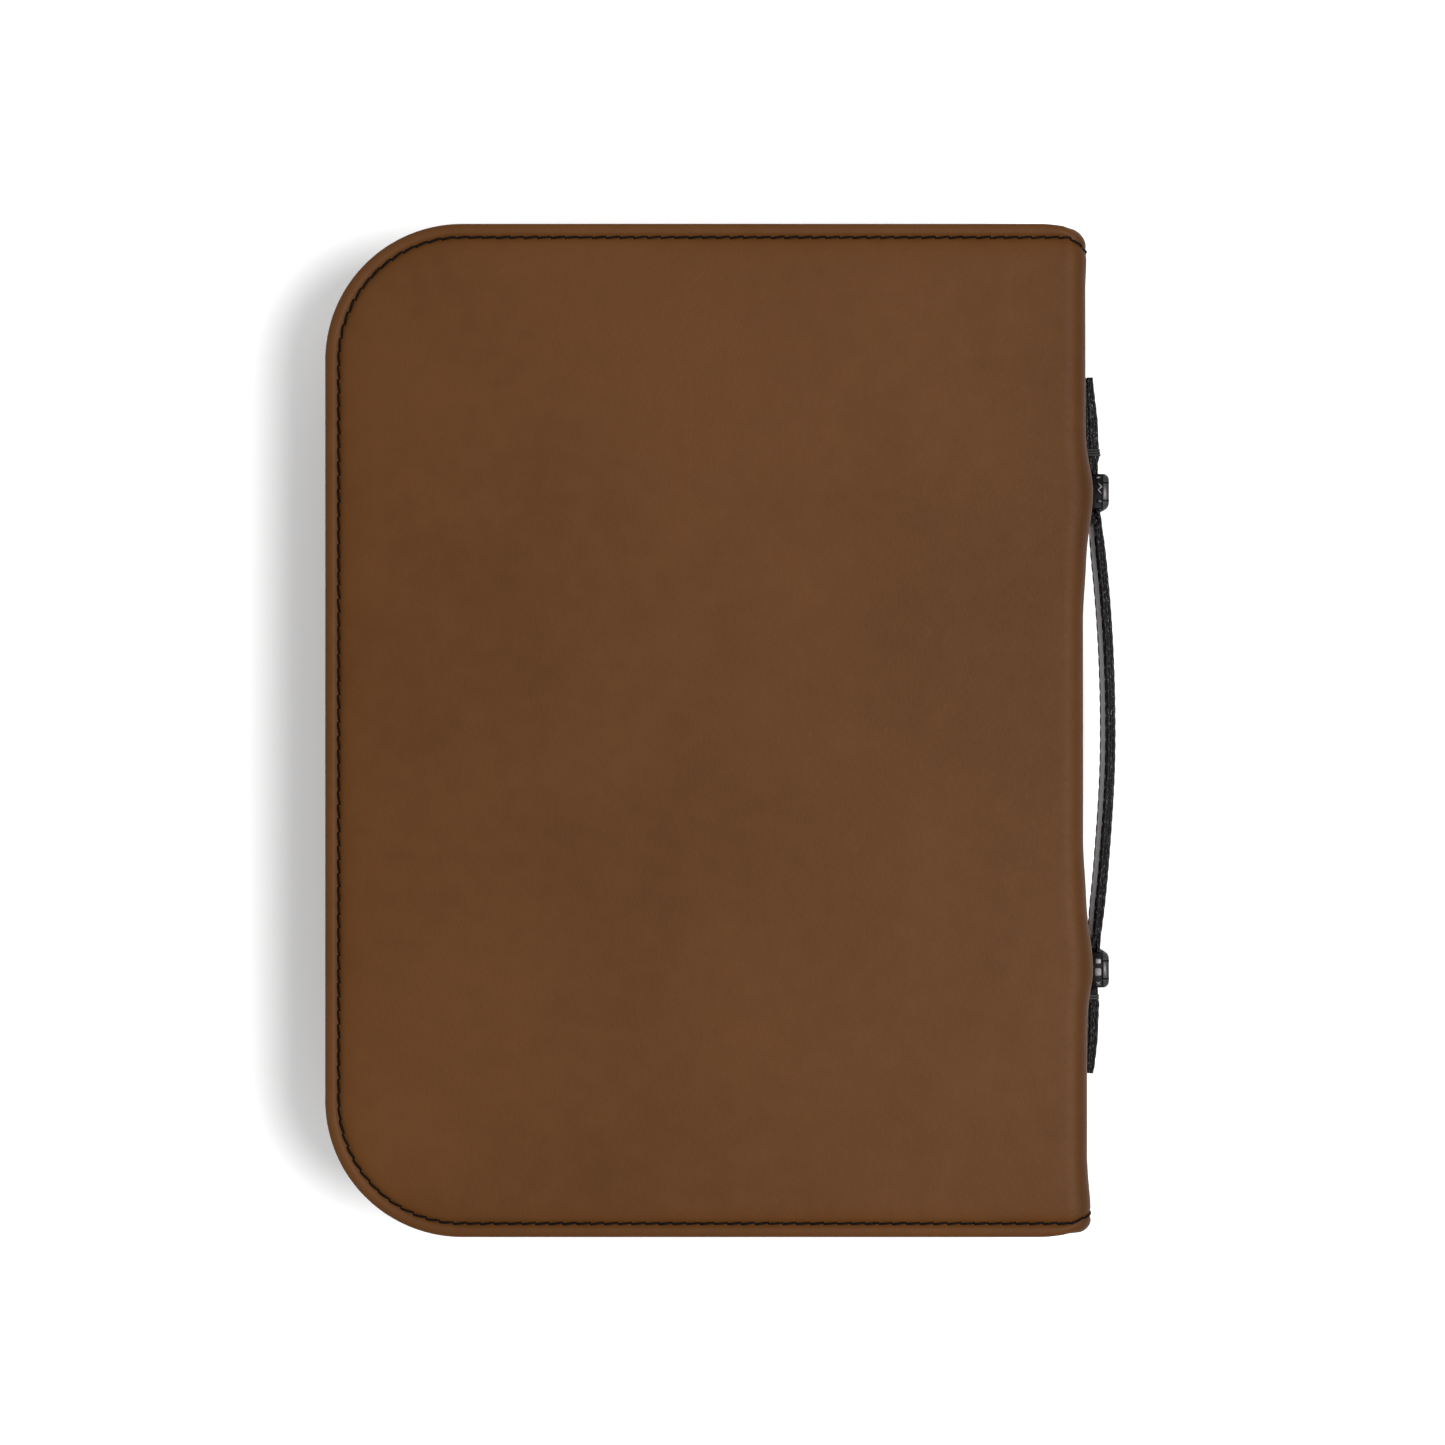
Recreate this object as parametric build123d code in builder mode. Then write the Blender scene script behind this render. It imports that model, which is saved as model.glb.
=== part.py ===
"""A zip-up Bible case with a carrying handle on its spine, closed around a Bible.

Millimetres. The case lies on its front cover: +Z is up, +Y points to the head of the book
and +X to the spine. The origin is the centre of the front cover's outer face.
An inset is a distance in from the case's edge, measured in plan.
The back cover's pieces are mirror images of the front cover's, about the mid plane.
"""
import os

from build123d import *

os.makedirs("parts", exist_ok=True)

# Case
CASE_LENGTH = 280.0
CASE_THICKNESS = 52.0
FORE_EDGE_X = -105.0
SPINE_X = 105.0
CORNER_RADIUS = 37.5
SPINE_END_RADIUS = 5.5
MID_Z = CASE_THICKNESS / 2
MID_PLANE = Plane.XY.offset(MID_Z)
OVERSHOOT = 5.0

# Layers of the front cover, from the outside inwards
SKIN = 1.2
FOAM_TOP = 3.2
BOARD_TOP = 4.7
LINING_TOP = 5.3
SKIN_END_X = 98.0
LAYER_END_X = 97.5
LAYER_INSET = 5.3

# Bible
BIBLE_COVER_LOW = 5.5
BIBLE_COVER = 1.4
BIBLE_FORE_EDGE_X = -87.0
BIBLE_HINGE_X = 99.0
BIBLE_LENGTH = 252.0
BIBLE_CORNER = 10.0
PAGE_LOW = 7.9
PAGE_HIGH = 25.8
PAGE_FORE_EDGE_X = -84.0
PAGE_SPINE_X = 98.0
PAGE_LENGTH = 246.0
PAGE_CORNER = 8.0
RIBBON_WIDTH = 6.0
RIBBON = 0.2
RIBBON_GAP = 0.1
RIBBON_X = 58.0
RIBBON_TAIL = 8.0

# Sleeve that the Bible's cover slides into
SLEEVE = 0.6
SLEEVE_LOW = 7.1
SLEEVE_INSET = 7.0
SLEEVE_END_X = -40.0
SLEEVE_RIM = 0.8

# Gusset wall and zip
GUSSET_OUTER = 3.9
GUSSET_INNER = 4.7
GUSSET_HIGH = 17.0
FLANGE_INSET = 1.0
FLANGE = 0.8
TAPE_OUTER = 5.0
TAPE_INNER = 5.6
TAPE_LOW = 15.0
COIL_LOW = 23.2
COIL_HIGH = 25.4
COIL_OUTER = 4.1
COIL_INNER = 6.5
ZIP_END_X = 78.0
END_TAPE_X = 80.2
END_TAPE_SPINE_X = 103.3
END_TAPE_LOW = 8.0
END_TAPE_OPEN_Z = 31.6

# Slider and pull, parked on the end tape at the tail
SLIDER_X = 88.0
SLIDER_LENGTH = 11.0
SLIDER_DEPTH = 5.2
SLIDER_HEIGHT = 10.4
SLIDER_ROUND = 1.0
CHANNEL_DEPTH = 3.0
CHANNEL_HEIGHT = 6.6
TAPE_SLOT = 1.2
WEDGE_LENGTH = 3.0
WEDGE = 0.6
PIN_X = 85.5
PIN_INSET = 1.5
PIN_RADIUS = 0.6
LUG_RADIUS = 1.1
LUG_LOW = 3.2
LUG_HIGH = 4.4
PULL_BORE = 0.7
PULL_BARREL_HEIGHT = 5.8
PULL_LENGTH = 28.0
PULL_WIDTH = 7.0
PULL_NECK_WIDTH = 5.0
PULL_NECK = 3.0
PULL_THICKNESS = 1.2

# Spine
SPINE_BEND = 6.0
SPINE_FOLD_END_X = 99.0
SPINE_LAYER_LENGTH = 266.0
SPINE_LAYER_LOW = 7.0
SPINE_FOAM_X = 102.0
SPINE_FOAM = 1.7
SPINE_LINING_X = 101.2
SPINE_LINING = 0.6
BIBLE_SPINE_X = 99.6
BIBLE_SPINE_LOW = 7.4
HEADBAND_X = 98.3
HEADBAND = 1.2
HEADBAND_LOW = 12.0

# Pen loop inside the back cover, beside the Bible's fore edge
PEN_LOOP_X = -92.6
PEN_LOOP_RADIUS = 4.4
PEN_LOOP = 0.8
PEN_LOOP_WIDTH = 22.0
PEN_LOOP_HEIGHT = 9.4

# Handle
STRAP_WIDTH = 20.0
STRAP = 2.5
STRAP_BOW_X = 112.6
STRAP_SIDE_X = 108.7
STRAP_SIDE_Y = 58.0
BAR_X = 108.4
BAR_RADIUS = 1.1
LOOP_BORE = 1.2
LOOP_RADIUS = 2.2
FAR_BAR_Y = 70.3
NEAR_BAR_Y = 62.7
TAIL_LOOP_PLAY = 1.0
BUCKLE_X = 111.1
BUCKLE = 2.0
BUCKLE_LENGTH = 10.2
BUCKLE_WIDTH = 24.0
BUCKLE_ROUND = 0.7
BUCKLE_LUG = 1.6
BUCKLE_LUG_X = 107.0
TAB_END_X = 108.0
TAB_NECK_X = 108.6
TAB_NECK_Y = 77.0
TAB_ROOT_Y = 73.2
HEAD_TAB_END_Y = 98.5
TAIL_TAB_END_Y = 96.4
HEAD_TAB_CORNER = 1.5
TAIL_TAB_CORNER = 8.0


def save(piece, label):
    """Label a finished piece and write it to a STEP file of its own."""
    piece.part.label = label
    export_step(piece.part, f"parts/{label}.step")


def save_pair(piece, name):
    """Write the front cover's piece, and its mirror image for the back cover."""
    save(piece, f"front_{name}")
    with BuildPart() as mirrored:
        mirror(piece.part, about=MID_PLANE)
    save(mirrored, f"back_{name}")


def plan_outline(fore_edge, spine_end, length, corner):
    """A plan outline with two rounded corners at the fore edge, cut square at the spine."""
    with BuildSketch() as outline:
        with Locations((spine_end, 0)):
            Rectangle(spine_end - fore_edge, length, align=(Align.MAX, Align.CENTER))
        fillet(outline.vertices().group_by(Axis.X)[0], corner)
    return outline.sketch


def case_outline(inset, spine_end):
    """The case's own outline, brought in by the inset."""
    return plan_outline(
        FORE_EDGE_X + inset, spine_end, CASE_LENGTH - 2 * inset, CORNER_RADIUS - inset
    )


def plate(outline, low, high):
    """A flat layer between two heights."""
    with BuildPart() as layer:
        with BuildSketch(Plane.XY.offset(low)):
            add(outline)
        extrude(amount=high - low)
    return layer


def edge_wall(outer, inner, spine_end, low, high):
    """A wall that follows the case's edge round its three zipped sides."""
    outside = case_outline(outer, spine_end)
    inside = case_outline(inner, spine_end + OVERSHOOT)
    with BuildPart() as wall:
        with BuildSketch(Plane.XY.offset(low)):
            add(outside)
            add(inside, mode=Mode.SUBTRACT)
        extrude(amount=high - low)
    return wall


# Flat layers of the two covers
save_pair(plate(case_outline(0, SKIN_END_X), 0, SKIN), "skin")
layer_outline = case_outline(LAYER_INSET, LAYER_END_X)
save_pair(plate(layer_outline, SKIN, FOAM_TOP), "foam")
save_pair(plate(layer_outline, FOAM_TOP, BOARD_TOP), "board")
save_pair(plate(layer_outline, BOARD_TOP, LINING_TOP), "lining")

# Sleeve: a flap held off the lining by a narrow rim on its three sewn sides
sleeve_flap = case_outline(SLEEVE_INSET, SLEEVE_END_X)
sleeve_inside = case_outline(SLEEVE_INSET + SLEEVE_RIM, SLEEVE_END_X + OVERSHOOT)
with BuildPart() as sleeve:
    with BuildSketch(Plane.XY.offset(SLEEVE_LOW)):
        add(sleeve_flap)
    extrude(amount=SLEEVE)
    with BuildSketch(Plane.XY.offset(LINING_TOP)):
        add(sleeve_flap)
        add(sleeve_inside, mode=Mode.SUBTRACT)
    extrude(amount=SLEEVE_LOW - LINING_TOP)
save_pair(sleeve, "sleeve")

# Gussets: a wall with a flange that the edge stitching holds to the skin
flange_outside = case_outline(FLANGE_INSET, SKIN_END_X)
wall_outside = case_outline(GUSSET_OUTER, SKIN_END_X)
wall_inside = case_outline(GUSSET_INNER, SKIN_END_X + OVERSHOOT)
gusset_end_y = CASE_LENGTH / 2 - (GUSSET_OUTER + GUSSET_INNER) / 2
with BuildPart() as front_gusset:
    with BuildSketch(Plane.XY.offset(SKIN)):
        add(flange_outside)
        add(wall_inside, mode=Mode.SUBTRACT)
    extrude(amount=FLANGE)
    with BuildSketch(Plane.XY.offset(SKIN)):
        add(wall_outside)
        add(wall_inside, mode=Mode.SUBTRACT)
    extrude(amount=GUSSET_HIGH - SKIN)
save(front_gusset, "front_gusset")

# The back gusset also comes down over the end tapes, beside the spine
back_gusset_low = CASE_THICKNESS - GUSSET_HIGH
with BuildPart() as back_gusset:
    mirror(front_gusset.part, about=MID_PLANE)
    with BuildSketch(Plane.XY.offset(END_TAPE_OPEN_Z)):
        for side in (-1, 1):
            with Locations((SKIN_END_X, side * gusset_end_y)):
                Rectangle(
                    SKIN_END_X - END_TAPE_X,
                    GUSSET_INNER - GUSSET_OUTER,
                    align=(Align.MAX, Align.CENTER),
                )
    extrude(amount=back_gusset_low - END_TAPE_OPEN_Z)
save(back_gusset, "back_gusset")

# Zip tapes and the two halves of the coil
save_pair(edge_wall(TAPE_OUTER, TAPE_INNER, ZIP_END_X, TAPE_LOW, COIL_LOW), "zip_tape")
save_pair(edge_wall(COIL_OUTER, COIL_INNER, ZIP_END_X, COIL_LOW, COIL_HIGH), "zip_coil")


def end_tape(side, low, high):
    """The plain tape between the zip's end and the spine, at the head (1) or tail (-1)."""
    centre_y = side * (CASE_LENGTH / 2 - (TAPE_OUTER + TAPE_INNER) / 2)
    with BuildPart() as tape:
        with BuildSketch(Plane.XY.offset(low)):
            with Locations((END_TAPE_SPINE_X, centre_y)):
                Rectangle(
                    END_TAPE_SPINE_X - END_TAPE_X,
                    TAPE_INNER - TAPE_OUTER,
                    align=(Align.MAX, Align.CENTER),
                )
        extrude(amount=high - low)
    return tape.part


# At the tail, the back end tape stops short to leave the slider its parking place
end_tape_high = CASE_THICKNESS - END_TAPE_LOW
front_tapes = [end_tape(side, END_TAPE_LOW, COIL_HIGH) for side in (-1, 1)]
back_head_tape = end_tape(1, CASE_THICKNESS - COIL_HIGH, end_tape_high)
back_tail_tape = end_tape(-1, END_TAPE_OPEN_Z, end_tape_high)
with BuildPart() as front_zip_end:
    add(front_tapes)
save(front_zip_end, "front_zip_end")
with BuildPart() as back_zip_end:
    add(back_head_tape)
    add(back_tail_tape)
save(back_zip_end, "back_zip_end")

# Slider: two flanged plates round the coil, joined by a wedge at the open end
slider_y = -(CASE_LENGTH / 2 - (TAPE_OUTER + TAPE_INNER) / 2)
slider_face_y = slider_y - SLIDER_DEPTH / 2
slider_start_x = SLIDER_X - SLIDER_LENGTH / 2
slider_end_x = SLIDER_X + SLIDER_LENGTH / 2
pin_y = -(CASE_LENGTH / 2 - PIN_INSET)
with BuildPart() as slider:
    with BuildSketch(Plane.YZ.offset(slider_start_x)):
        with Locations((slider_y, MID_Z)):
            RectangleRounded(SLIDER_DEPTH, SLIDER_HEIGHT, SLIDER_ROUND)
            Rectangle(CHANNEL_DEPTH, CHANNEL_HEIGHT, mode=Mode.SUBTRACT)
            Rectangle(TAPE_SLOT, SLIDER_HEIGHT + OVERSHOOT, mode=Mode.SUBTRACT)
    extrude(amount=SLIDER_LENGTH)
    with BuildSketch(Plane.YZ.offset(slider_end_x - WEDGE_LENGTH)):
        with Locations((slider_y, MID_Z)):
            Rectangle(CHANNEL_DEPTH, WEDGE)
    extrude(amount=WEDGE_LENGTH)
    for lug_low in (MID_Z + LUG_LOW, MID_Z - LUG_HIGH):
        with BuildSketch(Plane.XY.offset(lug_low)):
            with Locations((PIN_X, pin_y)):
                Circle(LUG_RADIUS)
                Rectangle(
                    2 * LUG_RADIUS,
                    slider_face_y - pin_y,
                    align=(Align.CENTER, Align.MIN),
                )
        extrude(amount=LUG_HIGH - LUG_LOW)
    with BuildSketch(Plane.XY.offset(MID_Z - LUG_LOW)):
        with Locations((PIN_X, pin_y)):
            Circle(PIN_RADIUS)
    extrude(amount=2 * LUG_LOW)
save(slider, "zip_slider")

# Pull: a flat tag with an oval eye, on a barrel that turns on the slider's pin
pull_end_x = PIN_X - PULL_LENGTH
tag_start_x = PIN_X - PULL_NECK
with BuildPart() as pull:
    with BuildSketch(Plane.XZ.offset(-pin_y - PULL_THICKNESS / 2)):
        with Locations((tag_start_x, MID_Z)):
            RectangleRounded(
                tag_start_x - pull_end_x,
                PULL_WIDTH,
                PULL_WIDTH / 3,
                align=(Align.MAX, Align.CENTER),
            )
        with Locations((PIN_X - LUG_RADIUS / 2, MID_Z)):
            Rectangle(2 * PULL_NECK, PULL_NECK_WIDTH, align=(Align.MAX, Align.CENTER))
        with Locations((pull_end_x + PULL_WIDTH, MID_Z)):
            SlotOverall(PULL_WIDTH, PULL_WIDTH / 3, mode=Mode.SUBTRACT)
    extrude(amount=PULL_THICKNESS)
    with BuildSketch(Plane.XY.offset(MID_Z - PULL_BARREL_HEIGHT / 2)):
        with Locations((PIN_X, pin_y)):
            Circle(LUG_RADIUS)
    extrude(amount=PULL_BARREL_HEIGHT)
    with BuildSketch(Plane.XY.offset(MID_Z - PULL_BARREL_HEIGHT / 2)):
        with Locations((PIN_X, pin_y)):
            Circle(PULL_BORE)
    extrude(amount=PULL_BARREL_HEIGHT, mode=Mode.SUBTRACT)
save(pull, "zip_pull")

# Bible: covers, page block in two halves, and a ribbon in the opening between them
bible_outline = plan_outline(BIBLE_FORE_EDGE_X, BIBLE_HINGE_X, BIBLE_LENGTH, BIBLE_CORNER)
page_outline = plan_outline(PAGE_FORE_EDGE_X, PAGE_SPINE_X, PAGE_LENGTH, PAGE_CORNER)
bible_cover = plate(bible_outline, BIBLE_COVER_LOW, BIBLE_COVER_LOW + BIBLE_COVER)
save_pair(bible_cover, "bible_cover")
save_pair(plate(page_outline, PAGE_LOW, PAGE_HIGH), "page_block")
with BuildPart() as ribbon:
    with BuildSketch(Plane.XY.offset(PAGE_HIGH + RIBBON_GAP)):
        with Locations((RIBBON_X, -RIBBON_TAIL / 2)):
            Rectangle(RIBBON_WIDTH, PAGE_LENGTH + RIBBON_TAIL)
    extrude(amount=RIBBON)
save(ribbon, "ribbon_marker")

# Spine skin: flat outside, turned under at both long edges to meet the covers
fold_axis_z = SPINE_BEND
spine_top_z = CASE_THICKNESS - SPINE_BEND
inner_bend = SPINE_BEND - SKIN
with BuildPart() as spine_skin:
    with BuildSketch(Plane.XZ):
        with BuildLine():
            CenterArc((SPINE_FOLD_END_X, fold_axis_z), SPINE_BEND, -90, 90)
            Line((SPINE_X, fold_axis_z), (SPINE_X, spine_top_z))
            CenterArc((SPINE_FOLD_END_X, spine_top_z), SPINE_BEND, 0, 90)
            Line((SPINE_FOLD_END_X, CASE_THICKNESS), (SPINE_FOLD_END_X, CASE_THICKNESS - SKIN))
            CenterArc((SPINE_FOLD_END_X, spine_top_z), inner_bend, 0, 90)
            Line((SPINE_X - SKIN, spine_top_z), (SPINE_X - SKIN, fold_axis_z))
            CenterArc((SPINE_FOLD_END_X, fold_axis_z), inner_bend, -90, 90)
            Line((SPINE_FOLD_END_X, SKIN), (SPINE_FOLD_END_X, 0))
        make_face()
    extrude(amount=CASE_LENGTH / 2, both=True)
    with BuildSketch() as spine_plan:
        with Locations((SPINE_X, 0)):
            Rectangle(SPINE_X, CASE_LENGTH, align=(Align.MAX, Align.CENTER))
        fillet(spine_plan.vertices().group_by(Axis.X)[-1], SPINE_END_RADIUS)
    extrude(amount=CASE_THICKNESS, mode=Mode.INTERSECT)
save(spine_skin, "spine_skin")


def spine_layer(face_x, thickness, length, low):
    """A flat upright layer inside the spine, centred on the mid plane."""
    with BuildPart() as layer:
        with BuildSketch(Plane.YZ.offset(face_x)):
            with Locations((0, MID_Z)):
                Rectangle(length, CASE_THICKNESS - 2 * low)
        extrude(amount=thickness)
    return layer


save(spine_layer(SPINE_FOAM_X, SPINE_FOAM, SPINE_LAYER_LENGTH, SPINE_LAYER_LOW), "spine_foam")
save(
    spine_layer(SPINE_LINING_X, SPINE_LINING, SPINE_LAYER_LENGTH, SPINE_LAYER_LOW),
    "spine_lining",
)
save(spine_layer(BIBLE_SPINE_X, BIBLE_COVER, BIBLE_LENGTH, BIBLE_SPINE_LOW), "bible_spine")

# Headbands: a short roll at the head and tail of the page block's back
with BuildPart() as headbands:
    with BuildSketch(Plane.XY.offset(HEADBAND_LOW)):
        with Locations((HEADBAND_X + HEADBAND / 2, PAGE_LENGTH / 2)):
            Circle(HEADBAND / 2)
        with Locations((HEADBAND_X + HEADBAND / 2, -PAGE_LENGTH / 2)):
            Circle(HEADBAND / 2)
    extrude(amount=CASE_THICKNESS - 2 * HEADBAND_LOW)
save(headbands, "headbands")

# Pen loop: an elastic arch sewn to the inside of the back cover's sleeve
loop_root_z = CASE_THICKNESS - SLEEVE_LOW - SLEEVE
loop_centre_z = loop_root_z - PEN_LOOP_HEIGHT + PEN_LOOP_RADIUS
inner_loop = PEN_LOOP_RADIUS - PEN_LOOP
with BuildPart() as pen_loop:
    with BuildSketch(Plane.XZ):
        with Locations((PEN_LOOP_X, loop_centre_z)):
            Circle(PEN_LOOP_RADIUS)
            Rectangle(
                2 * PEN_LOOP_RADIUS,
                loop_root_z - loop_centre_z,
                align=(Align.CENTER, Align.MIN),
            )
            Circle(inner_loop, mode=Mode.SUBTRACT)
            Rectangle(
                2 * inner_loop,
                loop_root_z - loop_centre_z,
                align=(Align.CENTER, Align.MIN),
                mode=Mode.SUBTRACT,
            )
    extrude(amount=PEN_LOOP_WIDTH / 2, both=True)
save(pen_loop, "pen_loop")


def handle_tab(end_y, corner):
    """A folded leather tab on the spine, with a loop round a buckle's far bar."""
    with BuildPart() as tab:
        with BuildSketch(Plane.XY.offset(MID_Z - STRAP_WIDTH / 2)):
            with BuildLine():
                Polyline(
                    (SPINE_X, TAB_ROOT_Y),
                    (SPINE_X, end_y),
                    (TAB_END_X, end_y),
                    (TAB_NECK_X, TAB_NECK_Y),
                    (BAR_X + LOOP_RADIUS, FAR_BAR_Y),
                    (BAR_X - LOOP_RADIUS, FAR_BAR_Y),
                    close=True,
                )
            make_face()
            with Locations((BAR_X, FAR_BAR_Y)):
                Circle(LOOP_RADIUS)
                Circle(LOOP_BORE, mode=Mode.SUBTRACT)
        extrude(amount=STRAP_WIDTH)
        fillet(tab.edges().filter_by(Axis.X).group_by(Axis.Y)[-1], corner)
    return tab


save(handle_tab(HEAD_TAB_END_Y, HEAD_TAB_CORNER), "handle_tab_head")
tail_tab = handle_tab(TAIL_TAB_END_Y, TAIL_TAB_CORNER)
with BuildPart() as handle_tab_tail:
    mirror(tail_tab.part, about=Plane.XZ)
save(handle_tab_tail, "handle_tab_tail")

# Buckle: a pill-shaped plate with an ear at each end and two bars between the ears
buckle_y = (FAR_BAR_Y + NEAR_BAR_Y) / 2
buckle_low = MID_Z - BUCKLE_WIDTH / 2
with BuildPart() as buckle_head:
    with BuildSketch(Plane.YZ.offset(BUCKLE_X)):
        with Locations((buckle_y, MID_Z)):
            SlotOverall(BUCKLE_WIDTH, BUCKLE_LENGTH, rotation=90)
    extrude(amount=BUCKLE)
    fillet(buckle_head.edges().group_by(Axis.X)[-1], BUCKLE_ROUND)
    for ear_low in (buckle_low, buckle_low + BUCKLE_WIDTH - BUCKLE_LUG):
        with BuildSketch(Plane.XY.offset(ear_low)):
            with Locations((BAR_X, buckle_y)):
                SlotCenterToCenter(FAR_BAR_Y - NEAR_BAR_Y, 2 * (BAR_X - BUCKLE_LUG_X), rotation=90)
            with Locations((BAR_X, buckle_y)):
                Rectangle(
                    BUCKLE_X + BUCKLE / 2 - BAR_X,
                    PULL_WIDTH / 2,
                    align=(Align.MIN, Align.CENTER),
                )
        extrude(amount=BUCKLE_LUG)
    with BuildSketch(Plane.XY.offset(buckle_low)):
        with Locations((BAR_X, FAR_BAR_Y), (BAR_X, NEAR_BAR_Y)):
            Circle(BAR_RADIUS)
    extrude(amount=BUCKLE_WIDTH)
save(buckle_head, "buckle_head")
with BuildPart() as buckle_tail:
    mirror(buckle_head.part, about=Plane.XZ)
save(buckle_tail, "buckle_tail")

# Strap: a bowed band with a loop at each end; the tail loop is long enough to let it swing
tail_loop_y = -(NEAR_BAR_Y + TAIL_LOOP_PLAY / 2)
with BuildPart() as handle_strap:
    with BuildSketch(Plane.XY.offset(MID_Z - STRAP_WIDTH / 2)):
        with BuildLine():
            ThreePointArc((STRAP_SIDE_X, -STRAP_SIDE_Y), (STRAP_BOW_X, 0), (STRAP_SIDE_X, STRAP_SIDE_Y))
            Polyline(
                (STRAP_SIDE_X, STRAP_SIDE_Y),
                (BAR_X - LOOP_RADIUS, NEAR_BAR_Y),
                (BAR_X + LOOP_RADIUS, NEAR_BAR_Y),
                (STRAP_SIDE_X + STRAP, STRAP_SIDE_Y),
            )
            ThreePointArc(
                (STRAP_SIDE_X + STRAP, STRAP_SIDE_Y),
                (STRAP_BOW_X + STRAP, 0),
                (STRAP_SIDE_X + STRAP, -STRAP_SIDE_Y),
            )
            Polyline(
                (STRAP_SIDE_X + STRAP, -STRAP_SIDE_Y),
                (BAR_X + LOOP_RADIUS, -NEAR_BAR_Y),
                (BAR_X - LOOP_RADIUS, -NEAR_BAR_Y),
                (STRAP_SIDE_X, -STRAP_SIDE_Y),
            )
        make_face()
        with Locations((BAR_X, NEAR_BAR_Y)):
            Circle(LOOP_RADIUS)
            Circle(LOOP_BORE, mode=Mode.SUBTRACT)
        with Locations((BAR_X, tail_loop_y)):
            SlotCenterToCenter(TAIL_LOOP_PLAY, 2 * LOOP_RADIUS, rotation=90)
            SlotCenterToCenter(TAIL_LOOP_PLAY, 2 * LOOP_BORE, rotation=90, mode=Mode.SUBTRACT)
    extrude(amount=STRAP_WIDTH)
save(handle_strap, "handle_strap")
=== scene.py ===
"""Looks for a zip-up Bible cover and the Bible in it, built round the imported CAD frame.

Lengths in this script are millimetres; mesh_object() turns them into metres.
+X is the spine side, +Y the head of the book, and the closed case lies on its front cover.
"""

import math
import random

import bmesh
import bpy
import numpy as np
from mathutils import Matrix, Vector, noise


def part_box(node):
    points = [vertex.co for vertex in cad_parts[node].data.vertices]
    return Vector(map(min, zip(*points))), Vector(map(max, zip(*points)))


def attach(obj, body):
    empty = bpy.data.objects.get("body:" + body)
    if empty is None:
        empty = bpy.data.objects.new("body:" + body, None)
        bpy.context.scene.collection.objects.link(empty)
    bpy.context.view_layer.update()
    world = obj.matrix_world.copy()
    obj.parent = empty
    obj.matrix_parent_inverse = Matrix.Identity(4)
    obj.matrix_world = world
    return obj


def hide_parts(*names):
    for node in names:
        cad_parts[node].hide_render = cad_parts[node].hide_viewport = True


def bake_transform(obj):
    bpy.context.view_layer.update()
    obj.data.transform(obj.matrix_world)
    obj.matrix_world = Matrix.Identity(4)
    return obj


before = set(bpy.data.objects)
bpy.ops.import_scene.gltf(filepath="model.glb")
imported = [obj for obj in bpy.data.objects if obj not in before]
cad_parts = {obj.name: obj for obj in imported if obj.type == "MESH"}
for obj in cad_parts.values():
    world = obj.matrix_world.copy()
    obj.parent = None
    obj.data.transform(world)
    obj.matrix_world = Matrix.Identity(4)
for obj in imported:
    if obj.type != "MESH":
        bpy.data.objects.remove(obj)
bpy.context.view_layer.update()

MM = 0.001


def node_box(node):
    """A CAD node's two box corners."""
    low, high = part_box(node)
    return [c / MM for c in low], [c / MM for c in high]


# ---------------------------------------------------------------- sizes taken from the frame
back_low, back_high = node_box("back_skin")
LEFT = back_low[0]
HALF_Y = back_high[1]
TOP = back_high[2]
SPINE_X = node_box("spine_skin")[1][0]
MID_Z = TOP / 2
CORNER = 37.5  # radius of the fore edge's corners, in plan
BEND = 6.0  # radius at which the covers turn into the spine
BEND_X = SPINE_X - BEND
BEND_LENGTH = BEND * math.pi / 2
WRAP_LENGTH = BEND_LENGTH + TOP - BEND - MID_Z
FLAT_LENGTH = BEND_X - (LEFT + CORNER)
FORE_HALF = HALF_Y - CORNER


# ---------------------------------------------------------------- mesh helpers
def mesh_object(name, verts, faces, material, smooth=True, merge=0.0):
    mesh = bpy.data.meshes.new(name)
    mesh.from_pydata([(x * MM, y * MM, z * MM) for x, y, z in verts], [], faces)
    bm = bmesh.new()
    bm.from_mesh(mesh)
    if merge:
        bmesh.ops.remove_doubles(bm, verts=bm.verts, dist=merge * MM)
        bmesh.ops.dissolve_degenerate(bm, edges=bm.edges, dist=merge * MM)
    bmesh.ops.recalc_face_normals(bm, faces=bm.faces)
    for face in bm.faces:
        face.smooth = smooth
    bm.to_mesh(mesh)
    bm.free()
    mesh.materials.append(material)
    obj = bpy.data.objects.new(name, mesh)
    bpy.context.scene.collection.objects.link(obj)
    return obj


UP = np.array([0, 0, 1.0])


def lattice(rows, wrap=False, caps=False, start=0):
    """Quads over rows of points. wrap closes each row on itself, and caps fills the two ends."""
    count = len(rows[0])
    verts = [p for row in rows for p in row]
    faces = []
    for i in range(len(rows) - 1):
        for j in range(count if wrap else count - 1):
            k = (j + 1) % count
            faces.append((start + i * count + j, start + i * count + k,
                          start + (i + 1) * count + k, start + (i + 1) * count + j))
    if caps:
        last = start + (len(rows) - 1) * count
        faces.append(tuple(start + j for j in reversed(range(count))))
        faces.append(tuple(last + j for j in range(count)))
    return verts, faces


def square_to(path, i):
    """The unit vector square to a path at one of its points, in the plane of their first two
    coordinates."""
    ax, ay = path[max(i - 1, 0)][:2]
    bx, by = path[min(i + 1, len(path) - 1)][:2]
    length = math.hypot(bx - ax, by - ay)
    return -(by - ay) / length, (bx - ax) / length


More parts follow.
